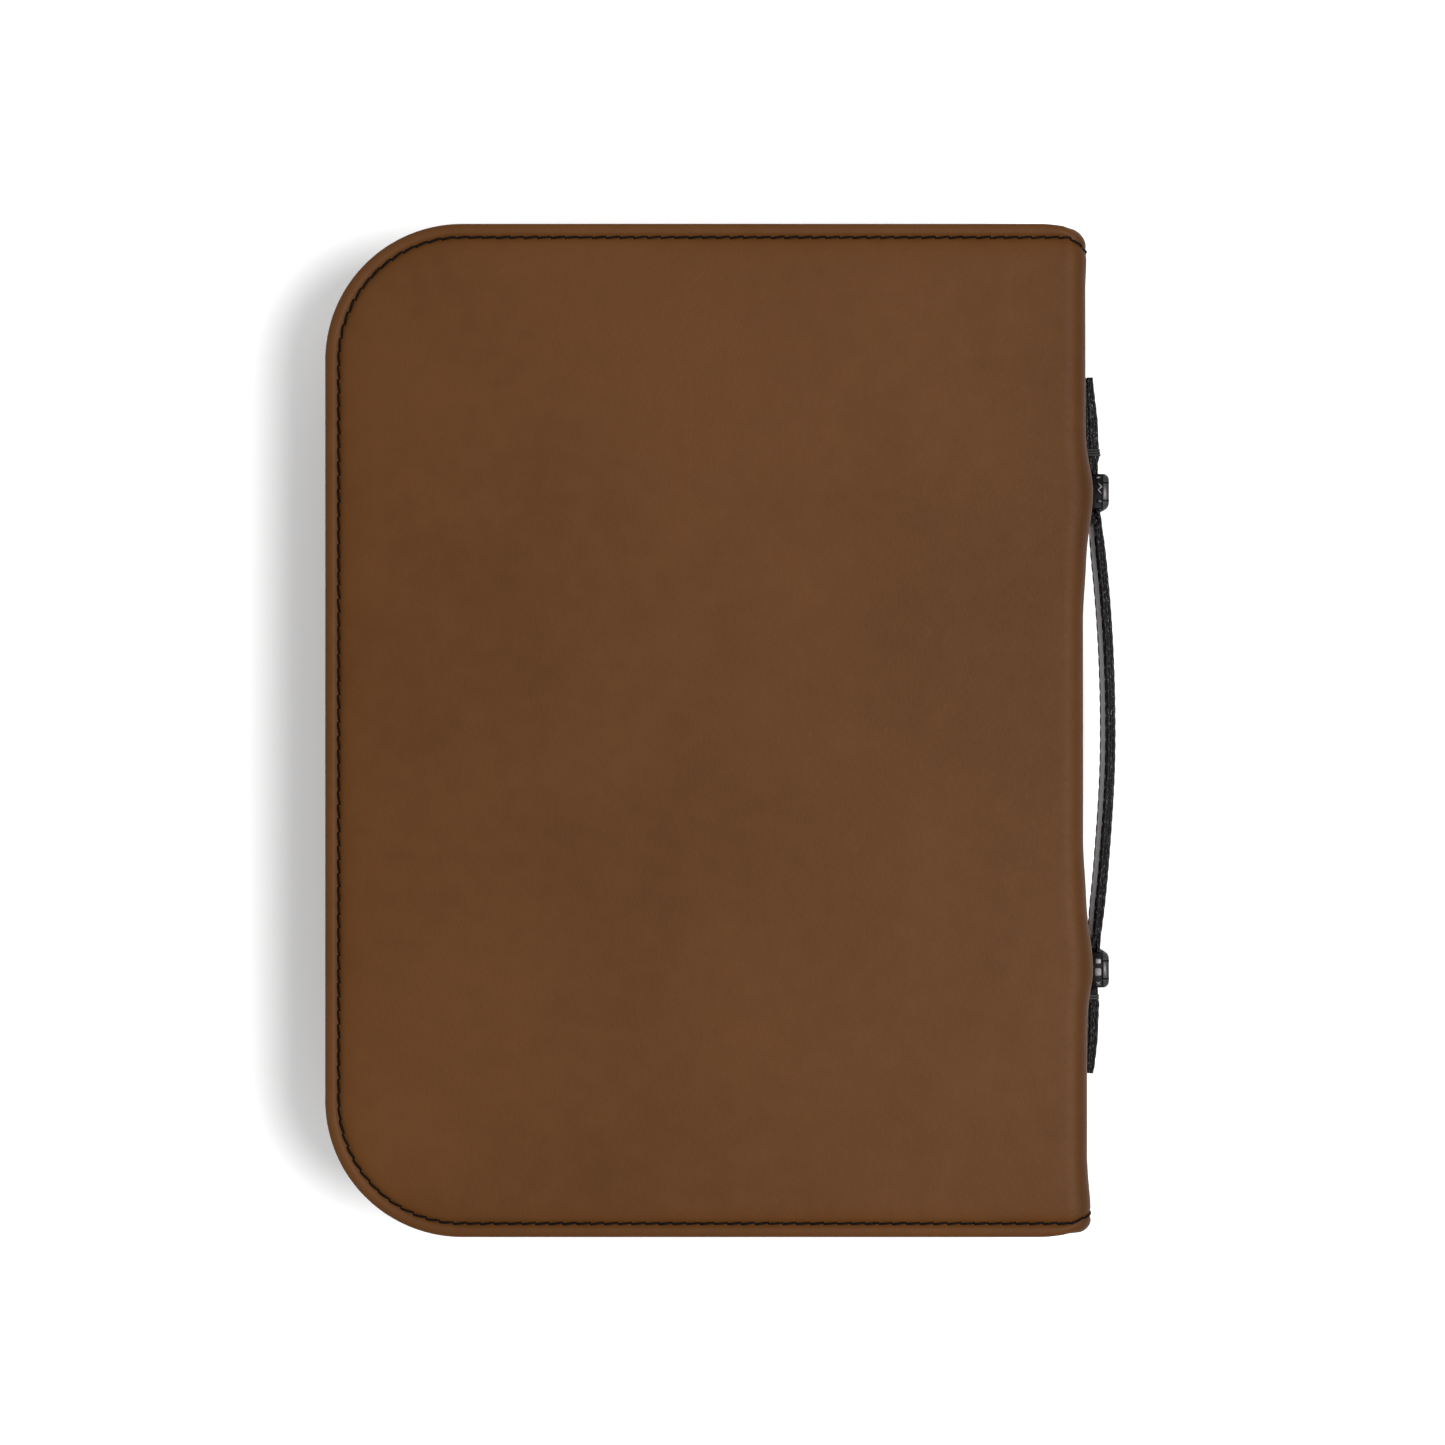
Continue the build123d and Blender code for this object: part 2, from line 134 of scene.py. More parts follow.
class Gather:
    """Collects many small lattices into one mesh."""

    def __init__(self):
        self.verts = []
        self.faces = []

    def add(self, rows, wrap=True, caps=True):
        verts, faces = lattice(rows, wrap, caps, len(self.verts))
        self.verts += verts
        self.faces += faces

    def make(self, name, material, smooth=True):
        return mesh_object(name, self.verts, self.faces, material, smooth)


def smoothstep(t):
    t = min(max(t, 0.0), 1.0)
    return t * t * (3 - 2 * t)


def ramp(x, low, high):
    return smoothstep((x - low) / (high - low))


def mirrored(verts):
    return [(x, y, TOP - z) for x, y, z in verts]


def place(obj, body, slot, *nodes):
    """The piece rides on a body and stands for CAD nodes, which it hides; slot is not used."""
    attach(obj, body)
    if nodes:
        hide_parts(*nodes)


# ---------------------------------------------------------------- materials
WAVE_BANDS = 3.18  # bands per metre of a wave texture whose scale is 1


class Shader:
    """A Principled material whose colour, roughness and bump come from procedural textures."""

    def __init__(self, name, **sockets):
        self.material = bpy.data.materials.new(name)
        self.material.use_nodes = True
        self.tree = self.material.node_tree
        self.bsdf = next(n for n in self.tree.nodes if n.type == "BSDF_PRINCIPLED")
        self.coords = self.tree.nodes.new("ShaderNodeTexCoord").outputs["Object"]
        self.normal = None
        for socket, value in sockets.items():
            self.bsdf.inputs[socket.replace("_", " ")].default_value = value

    def link(self, out, into):
        self.tree.links.new(out, into)

    def mapped(self, scale):
        node = self.tree.nodes.new("ShaderNodeMapping")
        node.inputs["Scale"].default_value = scale
        self.link(self.coords, node.inputs["Vector"])
        return node.outputs["Vector"]

    def noise(self, scale, detail=4, stretch=(1, 1, 1), distortion=0.0):
        node = self.tree.nodes.new("ShaderNodeTexNoise")
        node.inputs["Scale"].default_value = scale
        node.inputs["Detail"].default_value = detail
        node.inputs["Distortion"].default_value = distortion
        self.link(self.mapped(stretch), node.inputs["Vector"])
        return node.outputs["Fac"]

    def cells(self, scale, feature="F1"):
        node = self.tree.nodes.new("ShaderNodeTexVoronoi")
        node.feature = feature
        node.inputs["Scale"].default_value = scale
        self.link(self.mapped((1, 1, 1)), node.inputs["Vector"])
        return node.outputs["Distance"]

    def wave(self, scale, direction="X", distortion=0.0):
        node = self.tree.nodes.new("ShaderNodeTexWave")
        node.bands_direction = direction
        node.inputs["Scale"].default_value = scale
        node.inputs["Distortion"].default_value = distortion
        self.link(self.mapped((1, 1, 1)), node.inputs["Vector"])
        return node.outputs["Fac"]

    def maths(self, operation, a, b):
        node = self.tree.nodes.new("ShaderNodeMath")
        node.operation = operation
        for socket, value in zip(node.inputs, (a, b)):
            if isinstance(value, (int, float)):
                socket.default_value = value
            else:
                self.link(value, socket)
        return node.outputs[0]

    def colours(self, fac, stops):
        node = self.tree.nodes.new("ShaderNodeValToRGB")
        elements = node.color_ramp.elements
        while len(elements) < len(stops):
            elements.new(0.5)
        for element, (position, colour) in zip(elements, stops):
            element.position = position
            element.color = (*colour, 1)
        self.link(fac, node.inputs["Fac"])
        return node.outputs["Color"]

    def base(self, fac, stops):
        self.link(self.colours(fac, stops), self.bsdf.inputs["Base Color"])

    def painted_spine_shade(self, keep):
        """Painted shade: darkens the base colour to keep times itself where the mesh's attribute for
        this shade is 1.
        """
        shade_amount = self.tree.nodes.new("ShaderNodeAttribute")
        shade_amount.attribute_name = "painted_spine_shade"
        loss = self.maths("MULTIPLY", shade_amount.outputs["Fac"], 1 - keep)
        factor = self.maths("SUBTRACT", 1.0, loss)
        scaled = self.tree.nodes.new("ShaderNodeVectorMath")
        scaled.operation = "SCALE"
        source = self.bsdf.inputs["Base Color"].links[0].from_socket
        self.link(source, scaled.inputs[0])
        self.link(factor, scaled.inputs["Scale"])
        self.link(scaled.outputs["Vector"], self.bsdf.inputs["Base Color"])

    def roughness(self, fac, low, high):
        node = self.tree.nodes.new("ShaderNodeMapRange")
        node.inputs["To Min"].default_value = low
        node.inputs["To Max"].default_value = high
        self.link(fac, node.inputs["Value"])
        self.link(node.outputs["Result"], self.bsdf.inputs["Roughness"])

    def bump(self, height, distance_mm, strength=1.0):
        node = self.tree.nodes.new("ShaderNodeBump")
        node.inputs["Strength"].default_value = strength
        node.inputs["Distance"].default_value = distance_mm * MM
        self.link(height, node.inputs["Height"])
        if self.normal is not None:
            self.link(self.normal, node.inputs["Normal"])
        self.normal = node.outputs["Normal"]
        self.link(self.normal, self.bsdf.inputs["Normal"])


def leather(name, dark, mid, light, grain, rough, gloss=0.1, relief=1.0):
    """Pebbled, creased leather with slow changes of colour; a larger grain is coarser."""
    s = Shader(name, Specular_IOR_Level=gloss)
    blotches = s.maths("ADD", s.maths("MULTIPLY", s.noise(14, 3), 0.7),
                       s.maths("MULTIPLY", s.noise(160, 5), 0.3))
    s.base(blotches, [(0.36, dark), (0.5, mid), (0.66, light)])
    # painted shade: the base colour is 30% darker on the spine's flank, where the mesh carries the
    # attribute
    s.painted_spine_shade(0.70)
    pebbles = s.cells(1150 / grain, feature="SMOOTH_F1")
    creases = s.noise(620 / grain, 6, distortion=0.6)
    s.roughness(creases, *rough)
    s.bump(s.noise(95, 3), 0.07 * relief)
    s.bump(pebbles, 0.05 * relief, 0.8)
    s.bump(creases, 0.045 * relief, 0.8)
    return s.material


def cloth(name, dark, light, pitch_mm):
    """A plain weave: warp and weft ribs as bump, with thread-to-thread colour changes."""
    s = Shader(name, Roughness=0.85, Sheen_Weight=0.25)
    scale = 1 / (pitch_mm * MM) / WAVE_BANDS
    warp, weft, up = (s.wave(scale, axis) for axis in "XYZ")
    weave = s.maths("MAXIMUM", s.maths("MULTIPLY", warp, weft), s.maths("MULTIPLY", up, weft))
    s.base(s.maths("ADD", s.maths("MULTIPLY", weave, 0.5),
                   s.maths("MULTIPLY", s.noise(420, 4), 0.5)), [(0.25, dark), (0.75, light)])
    s.bump(weave, 0.12)
    s.bump(s.noise(2500, 3), 0.03)
    return s.material


def metal(name, dark, light, rough):
    """Metal with fine level scratches and a little cloudiness in its plating."""
    s = Shader(name, Metallic=1.0)
    scratches = s.noise(900, 6, (1, 1, 14))
    s.base(s.noise(240, 4), [(0.3, dark), (0.7, light)])
    s.roughness(scratches, *rough)
    s.bump(scratches, 0.012, 0.6)
    return s.material


def thread(name, dark, light):
    """Waxed sewing thread with a diagonal twist."""
    s = Shader(name, Roughness=0.7, Specular_IOR_Level=0.03)
    twist = s.wave(560, "DIAGONAL", 1.2)
    s.base(s.noise(1500, 3), [(0.3, dark), (0.7, light)])
    s.bump(twist, 0.05)
    return s.material


def paper(name, dark, light):
    """Hundreds of thin leaves, stacked along Z."""
    s = Shader(name, Roughness=0.82, Specular_IOR_Level=0.12)
    leaves = s.noise(1.0, 4, (0.4, 0.4, 9000))
    fibres = s.noise(900, 5)
    mixed = s.maths("ADD", s.maths("MULTIPLY", leaves, 0.8), s.maths("MULTIPLY", fibres, 0.2))
    s.base(mixed, [(0.36, dark), (0.6, light)])
    s.bump(leaves, 0.09)
    s.bump(fibres, 0.01)
    return s.material


brown = leather("brown_leatherette", (0.060, 0.0205, 0.0032), (0.0668, 0.0236, 0.0042),
                (0.0735, 0.0268, 0.0054), 1.0, (0.46, 0.62))
strap_leather = leather("black_leather", (0.008, 0.008, 0.009), (0.014, 0.014, 0.015),
                        (0.024, 0.024, 0.026), 0.7, (0.36, 0.58), 0.22, 1.6)
# the strap's inner face: painted light, a lighter grey than the black strap that stands in for the
# white floor's reflection on that shaded face
strap_inner_light = leather("strap_inner_painted_light", (0.085, 0.090, 0.098), (0.105, 0.110, 0.120),
                     (0.125, 0.132, 0.143), 0.6, (0.28, 0.38), 0.32, 0.5)
bible_leather = leather("bible_cover_leather", (0.010, 0.010, 0.011), (0.017, 0.017, 0.019),
                        (0.030, 0.030, 0.033), 0.8, (0.32, 0.5), 0.3, 1.8)
black_thread = thread("black_thread", (0.0022, 0.0018, 0.0018), (0.0065, 0.0055, 0.0052))
brown_thread = thread("brown_thread", (0.030, 0.014, 0.008), (0.070, 0.036, 0.020))
lining = cloth("black_lining", (0.010, 0.010, 0.011), (0.034, 0.034, 0.037), 0.55)
tape = cloth("zip_tape", (0.008, 0.008, 0.009), (0.030, 0.030, 0.033), 0.8)
elastic = cloth("black_elastic", (0.008, 0.008, 0.009), (0.040, 0.040, 0.043), 1.1)


def painted_edge():
    """The sealed cut edge of a strap, black with light flecks."""
    s = Shader("strap_edge", Specular_IOR_Level=0.05)
    flecks = s.noise(1.0, 3, (3800, 1300, 3800))
    s.base(flecks, [(0.50, (0.0065, 0.0065, 0.007)), (0.60, (0.023, 0.023, 0.0245)),
                    (0.70, (0.14, 0.14, 0.15))])
    s.roughness(flecks, 0.4, 0.6)
    s.bump(flecks, 0.12)
    return s.material


def ribbon_satin():
    s = Shader("ribbon_satin", Sheen_Weight=0.3, Anisotropic=0.6)
    s.base(s.noise(300, 3, (1, 0.1, 1)), [(0.3, (0.16, 0.008, 0.010)), (0.7, (0.26, 0.016, 0.018))])
    s.roughness(s.noise(900, 4, (1, 0.05, 1)), 0.3, 0.45)
    s.bump(s.wave(900, "X"), 0.02)
    return s.material


def coil_nylon():
    s = Shader("zip_coil", Specular_IOR_Level=0.5)
    s.base(s.noise(900, 3), [(0.3, (0.010, 0.010, 0.011)), (0.7, (0.028, 0.028, 0.030))])
    s.roughness(s.noise(1300, 3), 0.28, 0.45)
    s.bump(s.noise(1600, 4), 0.02)
    return s.material


def striped_headband():
    s = Shader("headband_cloth", Roughness=0.7, Sheen_Weight=0.3)
    s.base(s.wave(260, "Z"), [(0.42, (0.30, 0.015, 0.018)), (0.58, (0.72, 0.70, 0.62))])
    s.bump(s.wave(520, "Z"), 0.08)
    return s.material


def open_foam():
    s = Shader("foam_padding", Roughness=0.95)
    s.base(s.cells(900), [(0.1, (0.30, 0.29, 0.27)), (0.6, (0.62, 0.60, 0.56))])
    s.bump(s.cells(1400), 0.15)
    return s.material


def grey_board():
    s = Shader("stiffener_board", Roughness=0.9)
    s.base(s.noise(400, 5), [(0.3, (0.20, 0.16, 0.12)), (0.7, (0.36, 0.30, 0.23))])
    s.bump(s.noise(1200, 4), 0.05)
    return s.material


edge_paint = painted_edge()
satin = ribbon_satin()
coil_plastic = coil_nylon()
gunmetal = metal("gunmetal", (0.050, 0.047, 0.048), (0.076, 0.071, 0.073), (0.34, 0.5))
black_metal = metal("black_metal", (0.003, 0.003, 0.0035), (0.006, 0.006, 0.0065), (0.3, 0.5))
fitting_metal = metal("fitting_metal", (0.080, 0.078, 0.076), (0.135, 0.131, 0.128), (0.4, 0.55))
bright_metal = metal("zip_metal", (0.110, 0.107, 0.104), (0.185, 0.180, 0.175), (0.26, 0.42))
pages = paper("page_paper", (0.38, 0.35, 0.28), (0.53, 0.50, 0.42))
headband_cloth = striped_headband()
foam = open_foam()
board = grey_board()

# the looks and edge bevels of the CAD nodes that stay visible, by a part of their names
NODE_MATERIALS = {
    "foam": foam, "board": board, "lining": lining, "sleeve": lining, "zip_end": tape,
    "bible_cover": bible_leather, "bible_spine": bible_leather, "ribbon_marker": satin,
    "headbands": headband_cloth, "zip_slider": bright_metal, "zip_pull": bright_metal,
}
BEVELS = {"zip_slider": 0.35, "zip_pull": 0.3, "bible_cover": 0.4, "sleeve": 0.2,
          "zip_end": 0.15, "bible_spine": 0.4}

for node_name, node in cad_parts.items():
    for key, material in NODE_MATERIALS.items():
        if key in node_name:
            node.data.materials.clear()
            node.data.materials.append(material)
            break
    for key, width in BEVELS.items():
        if key in node_name:
            bevel = node.modifiers.new("edges", "BEVEL")
            bevel.width = width * MM
            bevel.segments = 3
            bevel.limit_method = "ANGLE"
            bevel.angle_limit = math.radians(35)
            break


# ---------------------------------------------------------------- the outer skin
HEAD, TAIL = 1, -1
STITCH_PITCH = 3.8
STITCH_INSET = 3.45
STITCH_DEPTH = 1.12
STATION_STEP = STITCH_PITCH / 3
END_RADIUS = {HEAD: 6.3, TAIL: 4.8}  # of the spine's ends, in plan
STITCH_SHIFT = {HEAD: 3.7, TAIL: 2.4}  # how much further in the stitches end on the spine
SHALLOW = 1.6  # depths below this are halved where the leather is over the spine
PULL_Y = 66.5  # the middle of each fitting, from the middle of the spine
PUCKER_DEPTH, PUCKER_WIDTH = 0.22, 0.75
# X over which the painted shade on the spine's flank grows in
SHADE_START, SHADE_END = 101.0, 104.4
# (inset, depth) from inside the rim's roll, round it, over the seam groove and onto the panel
RIM_PROFILE = [
    (4.7, 3.3), (3.4, 3.75), (1.6, 3.6), (0.4, 3.2), (-0.25, 2.6), (-0.4, 1.95), (-0.28, 1.3),
    (0.12, 0.86), (0.7, 0.66), (1.5, 0.6), (2.2, 0.68), (2.7, 0.92), (3.12, 1.25), (3.62, 1.32),
    (4.02, 1.1), (4.6, 0.78), (5.5, 0.5), (7.5, 0.3), (10, 0.2), (14, 0.12), (20, 0.06),
    (28, 0.0), (37.5, 0.0),
]


def ripple(u, y):
    """How far the padded leather sits below its plane, which varies gently over the panel."""
    broad = noise.noise(Vector((u * 0.016, y * 0.016, 3.1)))
    fine = noise.noise(Vector((u * 0.06, y * 0.06, 7.7)))
    return 0.28 + 0.22 * broad + 0.06 * fine


def handle_pull(y, z):
    """The spine's leather is drawn out beside the handle's fittings, least behind the strap,
    and flares at its two ends."""
    past = abs(y) - PULL_Y
    swell = 2.1 * math.exp(-((past / (6.5 if past > 0 else 9.0)) ** 2) / 2)
    off_strap = 0.25 + 0.75 * ramp(z - MID_Z, 10, 14)
    flare = 0.7 * ramp(abs(y), 30, 46) + 0.45 * ramp(-y, 70, 84)
    flare += 1.5 * ramp(-y, 118, 138) + 0.6 * ramp(y, 122, 134)
    return swell * off_strap + flare


def wrap_point(u, y, depth):
    """A point on the back cover at distance u past the start of the spine's bend."""
    angle = min(max(u / BEND, 0.0), math.pi / 2)
    nx, nz = math.sin(angle), math.cos(angle)
    if depth < SHALLOW:
        depth *= 1 - 0.5 * nx
    x = BEND_X + nx * BEND + min(u, 0.0)
    z = TOP - BEND + nz * BEND - max(u - BEND_LENGTH, 0.0)
    radius = END_RADIUS[HEAD if y > 0 else TAIL]
    near = min(radius, radius - (HALF_Y - abs(y)))
    if near > 0:
        depth += nx * (radius - math.sqrt(max(radius**2 - near**2, 0.0)))
    depth += ripple(min(u, 0.0), y) * (1 - 0.8 * nx) - handle_pull(y, z) * nx * nx
    return x - nx * depth, y, z - nz * depth


def stitch_shift(u, side, inset):
    """The stitch line runs further in where it goes over the spine."""
    amount = STITCH_SHIFT[side] * ramp(u, 1.0, BEND_LENGTH)
    if inset < STITCH_INSET:
        return amount * max(inset, 0.0) / STITCH_INSET
    return amount * (CORNER - inset) / (CORNER - STITCH_INSET)


def rim_point(station, inset, depth):
    """The back cover's point at a station, that far in from its edge and below its top."""
    kind, value, side = station
    if kind == "wrap":
        inset += stitch_shift(value, side, inset)
        inset += 1.0 * ramp(value, -6, 5) * max(0.0, 1 - max(inset, 0) / STITCH_INSET)
        return wrap_point(value, side * (HALF_Y - inset), depth)
    if kind == "corner":
        radius = CORNER - inset
        x = LEFT + CORNER - radius * math.sin(value)
        y = side * (HALF_Y - CORNER + radius * math.cos(value))
    else:
        x, y = LEFT + inset, value
    return x, y, TOP - depth - ripple(x - BEND_X, y)


def rim_stations():
    """Stations round the rim from mid-spine at the head to mid-spine at the tail, with the run
    of the stitch line up to each one."""
    stations, runs, run = [], [], 0.0
    spine_count = round(WRAP_LENGTH / STATION_STEP)
    flat_count = round(FLAT_LENGTH / STATION_STEP)
    corner_run = (CORNER - STITCH_INSET) * math.pi / 2
    corner_count = round(corner_run / STATION_STEP)
    fore_count = round(FORE_HALF / STATION_STEP)
    us = list(np.linspace(WRAP_LENGTH, 0, spine_count, endpoint=False))
    us += list(np.linspace(0, -FLAT_LENGTH, flat_count, endpoint=False))
    for u in us:
        stations.append(("wrap", float(u), HEAD))
        runs.append(WRAP_LENGTH - u)
    for i in range(corner_count):
        stations.append(("corner", math.pi / 2 * i / corner_count, HEAD))
        runs.append(WRAP_LENGTH + FLAT_LENGTH + corner_run * i / corner_count)
    for i in range(fore_count + 1):
        stations.append(("fore", FORE_HALF * (1 - i / fore_count), HEAD))
        runs.append(WRAP_LENGTH + FLAT_LENGTH + corner_run + FORE_HALF * i / fore_count)
    full = 2 * runs[-1]
    for (kind, value, _), run in list(zip(stations, runs))[-2::-1]:
        stations.append((kind, -value if kind == "fore" else value, TAIL))
        runs.append(full - run)
    return stations, runs, us + [-FLAT_LENGTH]


STATIONS, RUNS, US = rim_stations()
FORES = [v for kind, v, _ in STATIONS if kind == "fore"]


def pucker(inset, run):
    """The leather sinks at each needle hole."""
    phase = 0.5 + 0.5 * math.cos(2 * math.pi * run / STITCH_PITCH)
    return PUCKER_DEPTH * phase * math.exp(-(((inset - STITCH_INSET) / PUCKER_WIDTH) ** 2))


def skin_mesh():
    """The rim's rings round the three sides, and a grid over the panel and spine inside them."""
    rows = []
    for inset, depth in RIM_PROFILE:
        rows.append([
            rim_point(station, inset, depth + pucker(inset, run))
            for station, run in zip(STATIONS, RUNS)
        ])
    verts, faces = lattice(rows)
    inner = [[wrap_point(u, y, 0.0) for y in FORES] for u in US]
    more_verts, more_faces = lattice(inner, start=len(verts))
    return verts + more_verts, faces + more_faces


def paint_spine_shade(obj):
    """Painted shade: the leather is drawn darker where it turns down over the spine, since that
    flank is lit less.
    """
    attribute = obj.data.attributes.new("painted_spine_shade", "FLOAT", "POINT")
    values = [ramp(v.co.x / MM, SHADE_START, SHADE_END) for v in obj.data.vertices]
    attribute.data.foreach_set("value", values)


def face_outward(obj, direction):
    """Turns the faces over if most of them face away from direction."""
    total = sum((p.normal.dot(direction) * p.area for p in obj.data.polygons), 0.0)
    if total < 0:
        obj.data.flip_normals()


skin_verts, skin_faces = skin_mesh()
back_skin = mesh_object("case_skin_back", skin_verts, skin_faces, brown, merge=0.002)
face_outward(back_skin, Vector((0, 0, 1)))
front_skin = mesh_object("case_skin_front", mirrored(skin_verts), skin_faces, brown, merge=0.002)
face_outward(front_skin, Vector((0, 0, -1)))
# painted shade on both skins where they turn down over the spine
paint_spine_shade(back_skin)
paint_spine_shade(front_skin)


def blend_back(obj):
    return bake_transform(obj)


def blend_front(obj):
    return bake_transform(obj)


blend_back(back_skin)
blend_front(front_skin)
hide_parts("back_skin", "spine_skin")
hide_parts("front_skin")


# ---------------------------------------------------------------- stitches round the rim
def stitch_line():
    """Runs, points and surface normals of the line that the rim's stitches follow."""
    centres = np.array([rim_point(s, STITCH_INSET, STITCH_DEPTH) for s in STATIONS])
    normals = []
    for kind, value, _ in STATIONS:
        angle = min(max(value / BEND, 0), math.pi / 2) if kind == "wrap" else 0.0
        normals.append((math.sin(angle), 0, math.cos(angle)))
    return np.array(RUNS), centres, np.array(normals)


def sample(run, line):
    """The line's point, normal and sideways direction at a run."""
    runs, centres, normals = line

    def at(where, values):
        return np.array([np.interp(where, runs, values[:, k]) for k in range(3)])

    normal = at(run, normals)
    normal /= np.linalg.norm(normal)
    along = at(run + 0.3, centres) - at(run - 0.3, centres)
    along /= np.linalg.norm(along)
    return at(run, centres), normal, np.cross(normal, along)


def turn(count, shift=0.0):
    """Angles evenly round a full turn."""
    return [2 * math.pi * (k + shift) / count for k in range(count)]


def ring(point, normal, across, half_across, half_up, sides=7):
    return [
        tuple(point + across * half_across * math.cos(a) + normal * half_up * math.sin(a))
        for a in turn(sides)
    ]


def stitch_rows(line, begin, length, width, rng):
    """One stitch: a short thread that dips at both ends, a little skewed."""
    rows = []
    rise, slant = 0.58, 0.2
    skew = slant + rng.uniform(-0.08, 0.08)
    for t in (0.0, 0.06, 0.18, 0.38, 0.62, 0.82, 0.94, 1.0):
        point, normal, across = sample(begin + length * t, line)
        arch = math.sin(math.pi * t)
        centre = point + normal * (rise * arch**0.5 - 0.32) + across * skew * (t - 0.5) * 2
        half = width / 2 * (0.35 + 0.65 * min(1.0, 3.2 * arch))
        rows.append(ring(centre, normal, across, half, half * 0.8))
    return rows


def side_of(point, across):
    """+1 if across points out of the case's plan, else -1."""
    outward = np.array([min(point[0] + 60, 0.0), point[1] * 0.8, 0.0])
    return 1.0 if float(outward @ across) > 0 else -1.0


def rim_stitches(name, flip):
    """The row of stitches round the rim, with a short end of thread down each needle hole."""
    rng = random.Random(41)
    line = stitch_line()
    count = int(RUNS[-1] / STITCH_PITCH)
    pieces = Gather()
    for i in range(count):
        begin = STITCH_PITCH * (i - 0.02) + rng.uniform(-0.06, 0.06)
        length = STITCH_PITCH * rng.uniform(1.0, 1.05)
        width = rng.uniform(0.58, 0.68)
        pieces.add(stitch_rows(line, begin, length, width, rng))
        point, normal, across = sample(STITCH_PITCH * (i + 1), line)
        rows = []
        for t in (0.0, 0.35, 0.75, 1.0):
            centre = point + normal * (0.16 - 0.4 * t) - across * 0.75 * t * side_of(point, across)
            half = 0.2 * (1 - 0.55 * t)
            rows.append(ring(centre, normal, np.cross(across, normal), half, half, 6))
        pieces.add(rows)
    if flip:
        pieces.verts = mirrored(pieces.verts)
    return pieces.make(name, black_thread)


back_stitches = rim_stitches("rim_stitches_back", False)
front_stitches = rim_stitches("rim_stitches_front", True)
blend_back(back_stitches)
blend_front(front_stitches)


# ---------------------------------------------------------------- walls and zip
GUSSET_END = 98.0
ZIP_END = node_box("front_zip_end")[0][0] + 0.1
SWEEP_STEP = 1.6
COIL_PITCH, COIL_INSET = 1.55, 5.3


def plan_stations(x_end, step, inset=4.5):
    """(x, y, outward x, outward y) round the three zipped sides, for a line at that inset."""
    found = []

    def add(x, y, nx, ny):
        found.append((x, y, nx, ny))

    run = x_end - (LEFT + CORNER)
    for t in np.linspace(0, 1, round(run / step), endpoint=False):
        add(x_end - run * t, HALF_Y, 0, 1)
    count = round((CORNER - inset) * math.pi / 2 / step)
    for a in np.linspace(0, math.pi / 2, count, endpoint=False):
        add(LEFT + CORNER - CORNER * math.sin(a), HALF_Y - CORNER + CORNER * math.cos(a),
            -math.sin(a), math.cos(a))
    for t in np.linspace(0, 1, round(FORE_HALF * 2 / step), endpoint=False):
        add(LEFT, FORE_HALF * (1 - 2 * t), -1, 0)
    for a in np.linspace(math.pi / 2, 0, count, endpoint=False):
        add(LEFT + CORNER - CORNER * math.sin(a), -(HALF_Y - CORNER + CORNER * math.cos(a)),
            -math.sin(a), -math.cos(a))
    for t in np.linspace(0, 1, round(run / step) + 1):
        add(LEFT + CORNER + run * t, -HALF_Y, 0, -1)
    return found


def plan_sweep(name, profile, x_end, material, flip, wobble=0.0):
    """Sweeps a closed (inset, z) profile round the zipped sides, in and out by the wobble."""
    rows = []
    for i, (x, y, nx, ny) in enumerate(plan_stations(x_end, SWEEP_STEP)):
        row = []
        for inset, z in profile:
            run = i * SWEEP_STEP
            sway = wobble * noise.noise(Vector((run * 0.085, z * 0.16, 1.7 + 9 * flip)))
            sway += wobble * 0.5 * noise.noise(Vector((run * 0.3, z * 0.3, 5.2)))
            d = inset + sway * ramp(z, 3.0, 7.0) * (1 - ramp(z, 14.5, 16.5))
            row.append((x - nx * d, y - ny * d, TOP - z if flip else z))
        rows.append(row)
    verts, faces = lattice(rows, True, True)
    return mesh_object(name, verts, faces, material)


# closed (inset, z) profiles of the front cover's wall and of its zip tape
WALL = [
    (3.9, 2.2), (3.85, 4.5), (3.62, 6.5), (3.5, 9.0), (3.55, 11.5), (3.7, 14.0), (3.82, 15.6),
    (3.86, 16.7), (4.05, 17.15), (4.4, 17.2), (4.66, 16.8), (4.72, 14.0), (4.72, 9.0),
    (4.8, 6.4), (5.2, 5.62), (6.9, 5.5), (6.9, 5.2), (4.6, 2.4),
]
TAPE = [
    (5.0, 15.0), (4.98, 17.0), (4.95, 21.6), (4.8, 22.2), (4.8, 22.9), (4.98, 23.3),
    (5.62, 23.3), (5.8, 22.9), (5.8, 22.2), (5.65, 21.6), (5.62, 15.0),
]


def tooth(gather, x, y, nx, ny, root_z, tip_z):
    """One turn of the coil: a flattened loop of nylon that swells at its head."""
    along = np.array([-ny, nx, 0.0])
    out = np.array([nx, ny, 0.0])
    rows = []
    for t, along_half, out_half in ((0.0, 0.30, 0.95), (0.12, 0.36, 1.12), (0.55, 0.33, 1.1),
                                    (0.74, 0.46, 1.12), (0.9, 0.44, 1.0), (1.0, 0.24, 0.66)):
        centre = np.array([x, y, root_z + (tip_z - root_z) * t])
        rows.append([
            tuple(centre + along * along_half * math.cos(a) + out * out_half * math.sin(a))
            for a in turn(8, 0.5)
        ])
    gather.add(rows)


def coil(name, flip):
    """One tape's teeth, which take every other place so that the two tapes' teeth mesh."""
    gather = Gather()
    root, tip = (28.9, 25.62) if flip else (23.1, 26.38)
    stations = plan_stations(ZIP_END - 0.6, COIL_PITCH / 2, COIL_INSET)
    for x, y, nx, ny in stations[flip::2]:
        tooth(gather, x - nx * COIL_INSET, y - ny * COIL_INSET, nx, ny, root, tip)
    return gather.make(name, coil_plastic)


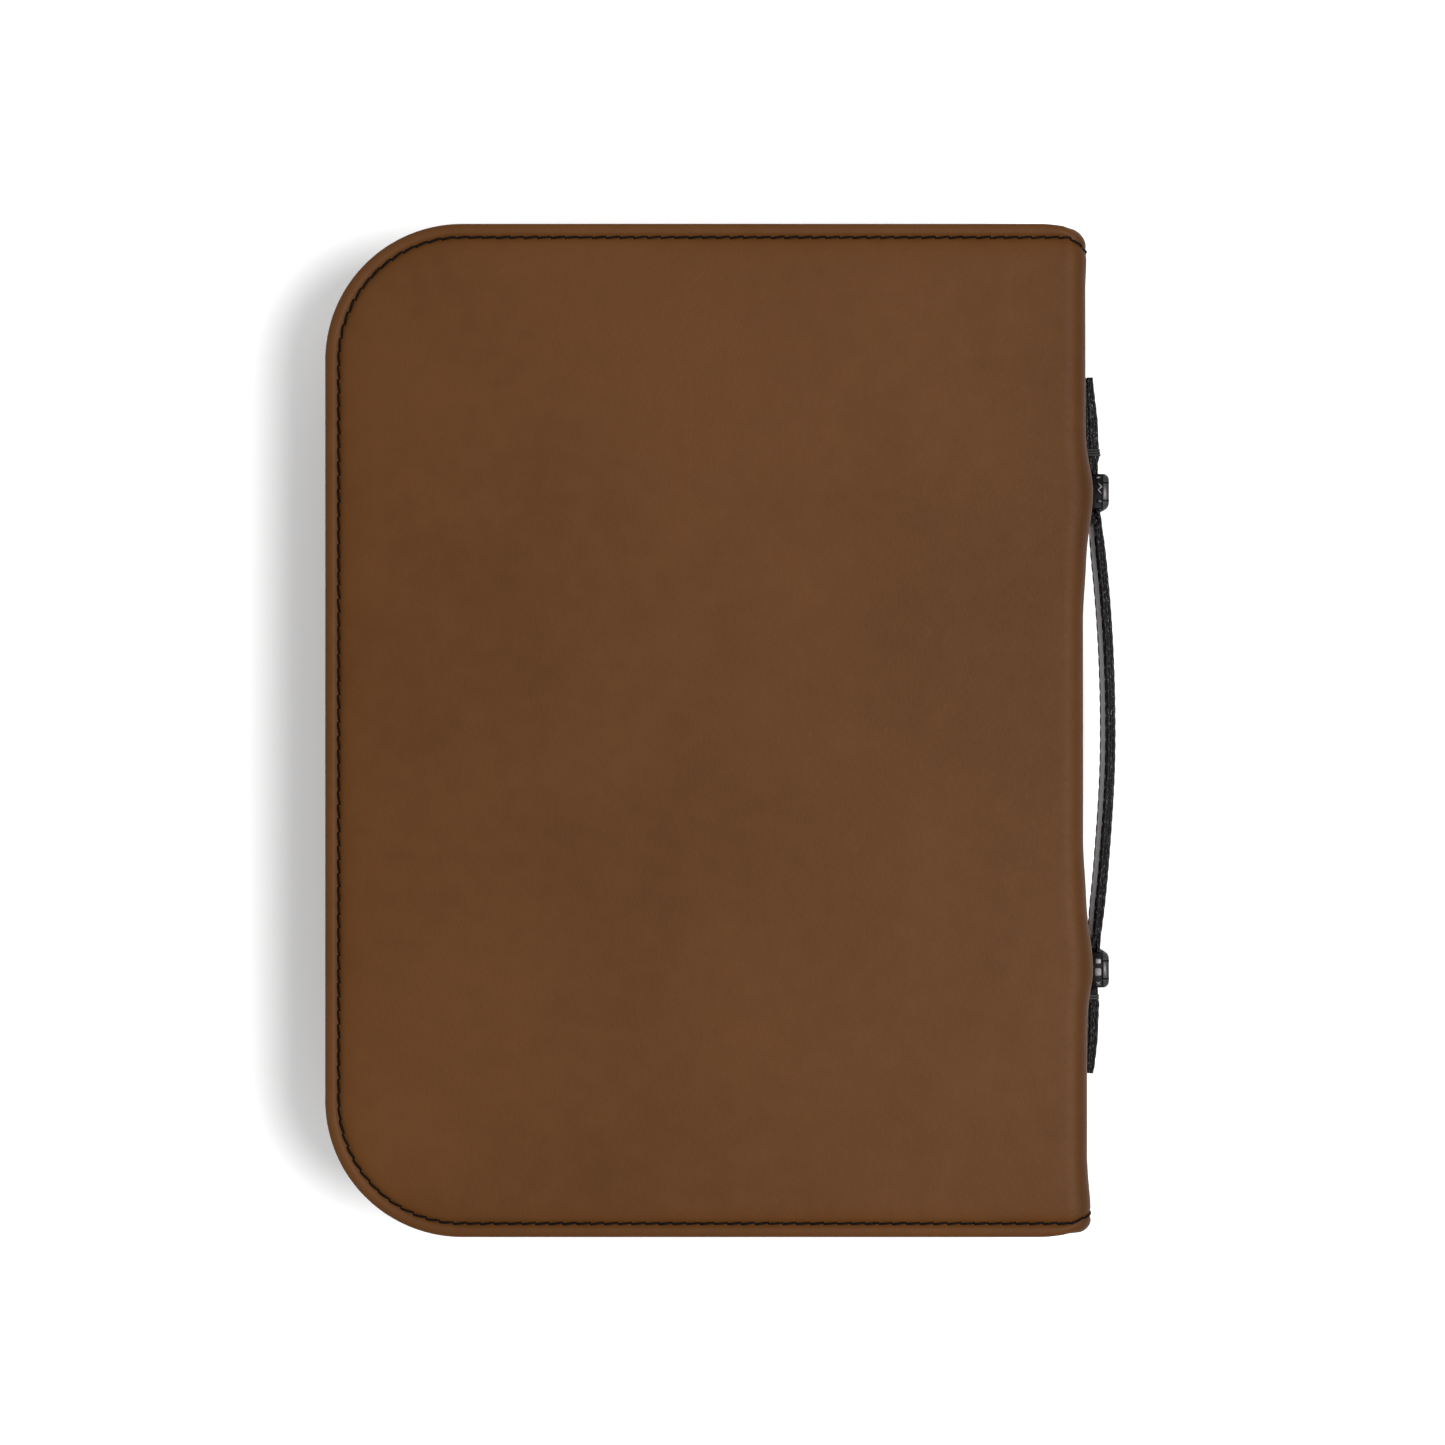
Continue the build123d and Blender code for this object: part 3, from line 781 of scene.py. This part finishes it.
def wall_stitches(name, flip):
    """The row that sews the wall to the zip tape."""
    rng = random.Random(17)
    pitch, height, surface = 3.1, 15.7, 3.82
    line = plan_stations(GUSSET_END - 1, pitch / 4, 3.7)
    # (half thickness, height above the wall) along one stitch
    arch = ((0.12, -0.12), (0.24, 0.12), (0.26, 0.18), (0.12, -0.12))
    gather = Gather()
    for i in range(0, len(line) - 4, 4):
        rows = []
        for (x, y, nx, ny), (half, lift) in zip(line[i:], arch):
            d = surface - lift
            z = height + rng.uniform(-0.03, 0.03)
            centre = np.array([x - nx * d, y - ny * d, TOP - z if flip else z])
            rows.append(ring(centre, UP, np.array([nx, ny, 0.0]), half, half, 6))
        gather.add(rows)
    return gather.make(name, brown_thread)


for side, flip in (("front", 0), ("back", 1)):
    body = side + "_cover"
    wall = plan_sweep(side + "_wall", WALL, GUSSET_END, brown, flip, 0.34)
    place(wall, body, "brown_leatherette", side + "_gusset")
    woven = plan_sweep(side + "_tape", TAPE, ZIP_END, tape, flip)
    place(woven, body, "zip_tape", side + "_zip_tape")
    place(coil(side + "_coil", flip), body, "zip_coil", side + "_zip_coil")
    place(wall_stitches(side + "_wall_stitches", flip), body, "brown_leatherette")


# ---------------------------------------------------------------- the handle
# distances along Y are from the middle of the spine
BAR_X = 108.4
NEAR_BAR = 62.7
FAR_BAR = 70.3
STRAP_LOW, STRAP_HIGH = 16.0, 36.0
STRAP_THICK = 2.5
STRAP_END_X, STRAP_MIDDLE_X = 108.9, 112.6  # the strap's inner face where it parts and at its middle
# (across, inset) round a strap's edge, which shows the three layers it is sewn from
STRAP_EDGE = [
    (-1.0, 0.9), (-0.93, 0.35), (-0.78, 0.06), (-0.52, 0.0), (-0.34, 0.10), (-0.28, 0.34),
    (-0.22, 0.08), (0.0, -0.02), (0.22, 0.08), (0.28, 0.34), (0.34, 0.10), (0.52, 0.0),
    (0.78, 0.06), (0.93, 0.35), (1.0, 0.9),
]
# (share of the half thickness, height) up a strap's face, with a groove for each stitch row
STRAP_FACE = [
    (1.0, 1.6), (0.9, 2.2), (1.0, 2.8), (1.0, 6.0), (1.0, 10.0), (1.0, 14.0),
    (1.0, 17.2), (0.9, 17.8), (1.0, 18.4),
]


def strip_section(half):
    """Closed section of a stitched strap, as (offset across its thickness, z)."""
    points = [(across * half, STRAP_LOW + inset) for across, inset in STRAP_EDGE]
    points += [(half * share, STRAP_LOW + z) for share, z in STRAP_FACE]
    points += [(across * half, STRAP_HIGH - inset) for across, inset in reversed(STRAP_EDGE)]
    points += [(-half * share, STRAP_LOW + z) for share, z in reversed(STRAP_FACE)]
    return points


def strip_rows(path):
    """Sweeps the section along (x, y, half thickness) points that lie in a plane of equal z."""
    rows = []
    for i, (x, y, half) in enumerate(path):
        nx, ny = square_to(path, i)
        rows.append([(x + nx * o, y + ny * o, z) for o, z in strip_section(half)])
    return rows


def arc_x(y, end_x, end_y, middle_x):
    """X on the circle through (end_x, +-end_y) and (middle_x, 0)."""
    rise = middle_x - end_x
    radius = (end_y**2 + rise**2) / (2 * rise)
    return middle_x - radius + math.sqrt(radius**2 - y**2)


STRAP_SPLIT = 58.0  # where the strap's two layers part
LOOP_RADIUS = 1.72  # to the middle of a layer, round a bar
LOOP_HALF = 0.48
TAIL_SLOT = 1.0  # play of the tail loop on its bar
STITCH_ROWS = (STRAP_LOW + 2.2, STRAP_HIGH - 2.2)


def merge_layer(start, end_x, end_y):
    """A layer that leaves (x, y, half thickness) and flows into a loop's side at (end_x, end_y)."""
    x0, y0, half0 = start
    found = []
    for k in range(9):
        t = k / 8
        ease = smoothstep(t)
        found.append((x0 + (end_x - x0) * ease, y0 + (end_y - y0) * t,
                      half0 + (LOOP_HALF - half0) * ease))
    return found


def strap_path():
    """Centre of the strap from its head loop to its tail loop."""
    path = []
    for i in range(81):
        y = STRAP_SPLIT * (1 - 2 * i / 80)
        near_end = ramp(abs(y), 48, STRAP_SPLIT)
        thick = STRAP_THICK - 0.4 * near_end
        x = arc_x(y, STRAP_END_X, STRAP_SPLIT, STRAP_MIDDLE_X) + STRAP_THICK / 2
        x += 0.1 * near_end - 0.3 * ramp(-y, 5, 35)
        path.append((x, y, thick / 2))
    return path


def loop_path(bar_y, sweep):
    """Half of a loop round a bar, swept that many degrees from +X."""
    found = []
    for k in range(21):
        a = math.radians(sweep * k / 20)
        found.append((BAR_X + LOOP_RADIUS * math.cos(a), bar_y + LOOP_RADIUS * math.sin(a),
                      LOOP_HALF))
    return found


def face_stitches(gather, path, first, last, offset_sign, pitch=3.4):
    """Thread along both edges of one face of a strap, from one run along it to another."""
    xs = np.array([p[0] for p in path])
    ys = np.array([p[1] for p in path])
    run = np.concatenate([[0], np.cumsum(np.hypot(np.diff(xs), np.diff(ys)))])
    s = first
    while s + pitch < min(last, run[-1]):
        for z in STITCH_ROWS:
            rows = []
            for t in (0.05, 0.15, 0.35, 0.6, 0.85, 0.95):
                at = s + pitch * t
                x, y = np.interp(at, run, xs), np.interp(at, run, ys)
                dx = np.interp(at + 0.2, run, xs) - np.interp(at - 0.2, run, xs)
                dy = np.interp(at + 0.2, run, ys) - np.interp(at - 0.2, run, ys)
                length = math.hypot(dx, dy)
                n = np.array([-dy / length, dx / length, 0.0])
                half = np.interp(at, run, [p[2] for p in path])
                lift = 0.12 * math.sin(math.pi * t)
                centre = np.array([x, y, z]) + n * offset_sign * (half * 0.92 + lift)
                r = 0.26 * (0.5 + 0.5 * min(1, 4 * math.sin(math.pi * t)))
                rows.append(ring(centre, UP, n, r * 0.8, r, 6))
            gather.add(rows)
        s += pitch


def painted(obj):
    """Gives a strap its painted edges (slot 1) and its inner face (slot 2), whose lighter grey is
    painted light for the floor's reflection.
    """
    obj.data.materials.append(edge_paint)
    obj.data.materials.append(strap_inner_light)
    for polygon in obj.data.polygons:
        height = abs(polygon.center.z / MM - MID_Z)
        if height > (STRAP_HIGH - STRAP_LOW) / 2 - 1.0:
            polygon.material_index = 1
        elif polygon.normal.x < -0.5 and abs(polygon.center.y) / MM < STRAP_SPLIT:
            polygon.material_index = 2
    return obj


main_strap = strap_path()
strap = Gather()
strap.add(strip_rows(main_strap))
for sign in (HEAD, TAIL):
    # the strap's two layers part and go round the buckle's near bar
    end_x, end_y, end_half = main_strap[0 if sign == HEAD else -1]
    loop_y = NEAR_BAR if sign == HEAD else -(NEAR_BAR + TAIL_SLOT)
    strap.add(strip_rows(loop_path(loop_y, 180 * sign)))
    for way in (1, -1):
        begin = (end_x + way * end_half / 2, end_y, end_half / 2)
        strap.add(strip_rows(merge_layer(begin, BAR_X + way * LOOP_RADIUS, loop_y)))
strap_obj = painted(strap.make("carrying_strap", strap_leather))
place(strap_obj, "strap", "black_leather", "handle_strap")
strap_threads = Gather()
for way in (1, -1):
    face_stitches(strap_threads, main_strap, 3.0, 118.0, way)
place(strap_threads.make("strap_stitches", black_thread), "strap", "black_leather")


def rounded_plan(x0, x1, y0, y1, radii, steps=5):
    """Points round a rectangle. The corner radii go (x1,y1) (x0,y1) (x0,y0) (x1,y0)."""
    points = []
    corners = ((x1, y1, -1, -1, 0), (x0, y1, 1, -1, 90), (x0, y0, 1, 1, 180), (x1, y0, -1, 1, 270))
    for (x, y, sx, sy, first), radius in zip(corners, radii):
        for j in range(steps + 1):
            a = math.radians(first + 90 * j / steps)
            points.append((x + sx * radius + radius * math.cos(a),
                           y + sy * radius + radius * math.sin(a)))
    return points


def closed_tube(gather, points, radius):
    """A thread that closes on itself, in a plane of equal y."""
    rows = []
    for i, (x, y, z) in enumerate(points):
        ax, _, az = points[i - 1]
        bx, _, bz = points[(i + 1) % len(points)]
        length = math.hypot(bx - ax, bz - az)
        nx, nz = (bz - az) / length, -(bx - ax) / length
        rows.append([
            (x + nx * radius * math.cos(a), y + radius * math.sin(a), z + nz * radius * math.cos(a))
            for a in turn(7)
        ])
    gather.add(rows + rows[:1], True, False)


def tab_top(reach):
    """X of the tab's outer face at that distance along the spine."""
    top = 110.55 - 0.35 * ramp(reach, 77, 84) - 1.3 * ramp(reach, 84, 99)
    return top + 0.08 * math.sin(reach * 1.9) * ramp(92 - reach, 0, 6)


def neck_dip(reach):
    """How far the tab's outer layer sinks beside the buckle's plate."""
    return 0.35 * ramp(reach, FAR_BAR, FAR_BAR + 1.3) * (1 - ramp(reach, 74.5, 77))


BINDING_REACHES = {HEAD: (77.3, 78.0, 78.7), TAIL: (74.5, 75.2)}
BINDING_RADIUS = 0.38


def handle_tab(name, sign, end_y, node):
    """A leather tab, folded round the buckle's far bar and sewn flat to the spine."""
    tab = Gather()
    outer, inner = [], []
    for k in range(41):
        t = k / 40
        y = FAR_BAR + (end_y - FAR_BAR) * t
        top = tab_top(y)
        layer = (top - SPINE_X) / 2
        close = 0.3 * ramp(t, 0.93, 1.0)
        ease = ramp(y, FAR_BAR, FAR_BAR + 5)
        half = LOOP_HALF + (layer / 2 - close * 0.5 - LOOP_HALF) * ease
        near_x, far_x = BAR_X - LOOP_RADIUS, BAR_X + LOOP_RADIUS
        outer.append((far_x + (top - layer / 2 - far_x) * ease - neck_dip(y), sign * y, half))
        inner.append((near_x + (SPINE_X + 0.05 + layer / 2 - near_x) * ease, sign * y, half))
    tab.add(strip_rows(outer))
    tab.add(strip_rows(inner))
    tab.add(strip_rows(loop_path(sign * FAR_BAR, -180 * sign)))
    obj = painted(tab.make(name, strap_leather))
    place(obj, "spine", "black_leather", node)
    threads = Gather()
    for reach in BINDING_REACHES[sign]:
        # close turns of thread bind the two layers beside the fold
        x0, x1 = SPINE_X + 0.2, tab_top(reach) - neck_dip(reach)
        z0, z1 = STRAP_LOW - 0.1, STRAP_HIGH + 0.1
        plan = rounded_plan(x0, x1, z0, z1, (0.8,) * 4)
        closed_tube(threads, [(x, sign * reach, z) for x, z in plan], BINDING_RADIUS)
    place(threads.make(name + "_binding", strap_leather), "spine", "black_leather")
    seams = Gather()
    face_stitches(seams, outer, 10.5, 27.0, -sign, 3.0)
    place(seams.make(name + "_stitches", black_thread), "spine", "black_leather")


handle_tab("tab_head", HEAD, 99.1, "handle_tab_head")
handle_tab("tab_tail", TAIL, 96.3, "handle_tab_tail")


def slab(gather, x0, x1, y0, y1, z0, z1, radii, bevel):
    """A plate in plan with rounded corners and softened top and bottom edges."""
    rows = []
    for z, pull in ((z0, bevel), (z0 + 0.3 * bevel, 0.3 * bevel), (z0 + bevel, 0),
                    (z1 - bevel, 0), (z1 - 0.3 * bevel, 0.3 * bevel), (z1, bevel)):
        plan = rounded_plan(x0 + pull, x1 - pull, y0 + pull, y1 - pull,
                            [max(r - pull, 0.05) for r in radii])
        rows.append([(x, y, z) for x, y in plan])
    gather.add(rows)


def wire(gather, points, radius):
    """A round wire along points that lie about level."""
    rows = []
    for i, (x, y, z) in enumerate(points):
        nx, ny = square_to(points, i)
        rows.append([
            (x + nx * radius * math.cos(a), y + ny * radius * math.cos(a), z + radius * math.sin(a))
            for a in turn(8)
        ])
    gather.add(rows)


PLATE_THICK = 2.0
EAR_THICK = 1.6
BAR_RADIUS = 1.1


def buckle(which, sign):
    """A gunmetal plate on a black body, with two bars and small bright fittings between them."""
    body = "buckle_" + which
    low, high = node_box(body)
    lean = 0.4 if sign == HEAD else -0.6
    outer_x, y0, y1 = high[0], low[1] + lean, high[1] + lean
    half_height, round_off = (high[2] - low[2]) / 2, 3.2
    plate = Gather()
    rows = []
    for t in np.linspace(-1, 1, 25):
        z = MID_Z + float(t) * half_height
        end = max(0.0, abs(z - MID_Z) - (half_height - round_off))
        pull = round_off - math.sqrt(max(round_off**2 - end**2, 0.0))
        thin = 0.25 * ramp(end, 2.6, round_off)
        radii = (1.5 - thin, 0.5, 0.3, 1.7 - thin)
        plan = rounded_plan(outer_x - PLATE_THICK, outer_x - thin, y0 + pull * 0.3,
                            y1 - pull * 0.3, radii if sign == HEAD else radii[::-1])
        rows.append([(x, y, z) for x, y in plan])
    plate.add(rows)
    place(plate.make(body + "_plate", gunmetal), body, "gunmetal", body)
    lines = Gather()
    for offset in (-2.5, 2.5):
        y = (y0 + y1) / 2 + offset
        x0, x1 = outer_x - 1.9, outer_x + 0.04
        z0, z1 = low[2] - 0.04, high[2] + 0.04
        ring_xz = [(x0, z0), (x1 - 0.4, z0), (x1 - 0.05, z0 + 0.5), (x1, z0 + 1.2),
                   (x1, z1 - 1.2), (x1 - 0.05, z1 - 0.5), (x1 - 0.4, z1), (x0, z1)]
        lines.add([[(x, y + w, z) for x, z in ring_xz] for w in (-0.2, 0.2)])
    place(lines.make(body + "_lines", black_thread, False), body, "gunmetal")
    ears = Gather()
    for z0, z1 in ((low[2], low[2] + EAR_THICK), (high[2] - EAR_THICK, high[2])):
        slab(ears, BAR_X - 1.5, outer_x - 1.9, y0 + 0.2, y1 - 0.2, z0, z1, (0.3, 1.6, 1.6, 0.3), 0.3)
    for bar in (NEAR_BAR, FAR_BAR):
        rows = []
        for z in np.linspace(low[2] + 0.8, high[2] - 0.8, 9):
            rows.append([(BAR_X + BAR_RADIUS * math.cos(a), sign * bar + BAR_RADIUS * math.sin(a),
                          float(z)) for a in turn(20)])
        ears.add(rows)
    place(ears.make(body + "_frame", black_metal), body, "gunmetal")
    bright = Gather()
    top = high[2]
    if sign == HEAD:
        wire(bright, [(109.2, 70.75, top), (109.7, 70.8, top + 0.1), (110.6, 70.9, top)], 0.36)
        wire(bright, [(109.6, 64.4, top), (110.2, 64.25, top + 0.12), (111.0, 64.1, top)], 0.46)
        wire(bright, [(109.6, 69.3, top), (110.3, 68.9, top + 0.1), (110.9, 68.2, top),
                      (110.3, 67.8, top + 0.05), (109.8, 67.5, top), (110.3, 66.9, top + 0.1),
                      (110.9, 66.3, top)], 0.38)
    else:
        slab(bright, 109.1, 110.8, -65.5, -63.9, top - 0.3, top + 0.2, (0.5,) * 4, 0.15)
        slab(bright, 108.9, 110.9, -68.9, -66.5, top - 0.3, top + 0.25, (0.6,) * 4, 0.15)
        wire(bright, [(108.9, -70.2, top), (109.7, -70.7, top + 0.1), (110.6, -71.3, top)], 0.34)
        wire(bright, [(109.3, -71.5, top), (109.9, -70.9, top + 0.15), (110.7, -70.2, top)], 0.34)
    place(bright.make(body + "_fittings", fitting_metal), body, "zip_metal")


buckle("head", HEAD)
buckle("tail", TAIL)


# ---------------------------------------------------------------- inside the case
def page_block(side, body, flip):
    """Half of the leaves: ridged edges, round corners at the fore edge, a rolled gutter."""
    low, high = node_box(side + "_page_block")
    z0, z1 = (TOP - high[2], TOP - low[2]) if flip else (low[2], high[2])
    rng = random.Random(23 + flip)
    block = Gather()
    rows = []
    levels, roll, corner = 56, 3.0, 8.0
    for k in range(levels + 1):
        z = z0 + (z1 - z0) * k / levels
        pull = (0.1 if k % 2 else 0.0) + rng.uniform(0, 0.05)
        gutter = roll - math.sqrt(max(roll**2 - max(0.0, z - (z1 - roll)) ** 2, 0.0))
        uneven = (0.02 * k) % 0.1
        plan = rounded_plan(low[0] + pull, high[0] - gutter - uneven, low[1] + pull,
                            high[1] - pull, (0.6, corner, corner, 0.6), 8)
        rows.append([(x, y, TOP - z if flip else z) for x, y in plan])
    block.add(rows)
    place(block.make(side + "_pages", pages, False), body, "page_paper", side + "_page_block")


page_block("front", "front_cover", 0)
page_block("back", "pages", 1)


def hinge_strip(name, path, half_y, half_thick, material, flip):
    """A strip along the spine that joins a cover to the spine, as (x, z) points."""
    rows = []
    for y in np.linspace(-half_y, half_y, 60):
        section = []
        for way in (1, -1):
            for i in (range(len(path)) if way > 0 else reversed(range(len(path)))):
                nx, nz = square_to(path, i)
                px = path[i][0] + way * nx * half_thick
                pz = path[i][1] + way * nz * half_thick
                section.append((px, float(y), TOP - pz if flip else pz))
        rows.append(section)
    verts, faces = lattice(rows, True, True)
    obj = mesh_object(name, verts, faces, material)
    if flip:
        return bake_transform(obj)
    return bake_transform(obj)


# (x, z) from the front cover to the spine
LINING_HINGE = [(96.2, 5.5), (98.2, 5.45), (99.6, 5.6), (100.8, 6.3), (101.45, 7.6), (101.5, 9.6)]
BIBLE_HINGE = [(97.0, 6.1), (99.0, 6.0), (99.85, 6.05), (100.2, 6.6), (100.3, 7.6), (100.3, 10.0)]
for side, flip in (("front", 0), ("back", 1)):
    hinge_strip(side + "_hinge_lining", LINING_HINGE, 133, 0.2, lining, flip)
    hinge_strip(side + "_bible_hinge", BIBLE_HINGE, 125.9, 0.42, bible_leather,
                flip)


def pen_holder():
    """A ribbed elastic loop, sewn to the back cover's lining."""
    low, high = node_box("pen_loop")
    middle, radius, wall = (low[0] + high[0]) / 2, (high[0] - low[0]) / 2, 0.8
    foot, centre_z, count = high[2], low[2] + radius, 64

    def outline(r, top, y):
        points = [(middle + r, y, top)]
        for k in range(17):
            a = -math.pi * k / 16
            points.append((middle + r * math.cos(a), y, centre_z + r * math.sin(a)))
        points.append((middle - r, y, top))
        return points

    rows = []
    for k in range(count + 1):
        y = low[1] + (high[1] - low[1]) * k / count
        rib = 0.1 * math.cos(2 * math.pi * k / 4)
        rows.append(outline(radius - 0.1 + rib, foot, y))
    for k in range(count, -1, -1):
        y = low[1] + (high[1] - low[1]) * k / count
        rows.append(outline(radius - wall, foot - wall, y))
    loop = Gather()
    loop.add(rows + rows[:1], True, False)
    place(loop.make("pen_holder", elastic), "back_cover", "black_elastic", "pen_loop")


pen_holder()


# ---------------------------------------------------------------- stage, light, camera
floor_paper = Shader("floor_paper", Roughness=0.95, Specular_IOR_Level=0.1)
floor_paper.base(floor_paper.noise(3, 2), [(0.3, (0.90, 0.90, 0.90)), (0.7, (0.92, 0.92, 0.92))])
FLOOR_HALF = 6000.0
floor_rows = [[(x, y, 0) for x in (-FLOOR_HALF, FLOOR_HALF)] for y in (-FLOOR_HALF, FLOOR_HALF)]
floor = mesh_object("floor", *lattice(floor_rows), floor_paper.material, False)

scene = bpy.context.scene
scene.view_settings.view_transform = "Standard"
scene.view_settings.look = "None"
world = bpy.data.worlds.new("studio")
world.use_nodes = True
sky = world.node_tree.nodes["Background"].inputs
sky["Color"].default_value = (1, 1, 1, 1)
sky["Strength"].default_value = 0.72
scene.world = world


def area_light(name, location, size, power):
    """A round soft light that points at the origin; metres and watts."""
    data = bpy.data.lights.new(name, "AREA")
    data.shape = "DISK"
    data.size = size
    data.energy = power
    light = bpy.data.objects.new(name, data)
    light.location = location
    light.rotation_euler = (-Vector(location)).to_track_quat("-Z", "Y").to_euler()
    scene.collection.objects.link(light)


area_light("key", (1.05, -0.09, 2.2), 1.15, 62)
area_light("fill", (-1.2, 1.0, 2.4), 1.6, 10)

# straight above the case, looking down, with the head of the book at the top of the picture
CAMERA_AT = (0.0047, 0.0022, 1.102)
CAMERA_LENS, CAMERA_SENSOR = 94.6, 36
camera_data = bpy.data.cameras.new("camera")
camera_data.lens = CAMERA_LENS
camera_data.sensor_width = CAMERA_SENSOR
camera = bpy.data.objects.new("camera", camera_data)
camera.location = CAMERA_AT
scene.collection.objects.link(camera)
scene.camera = camera
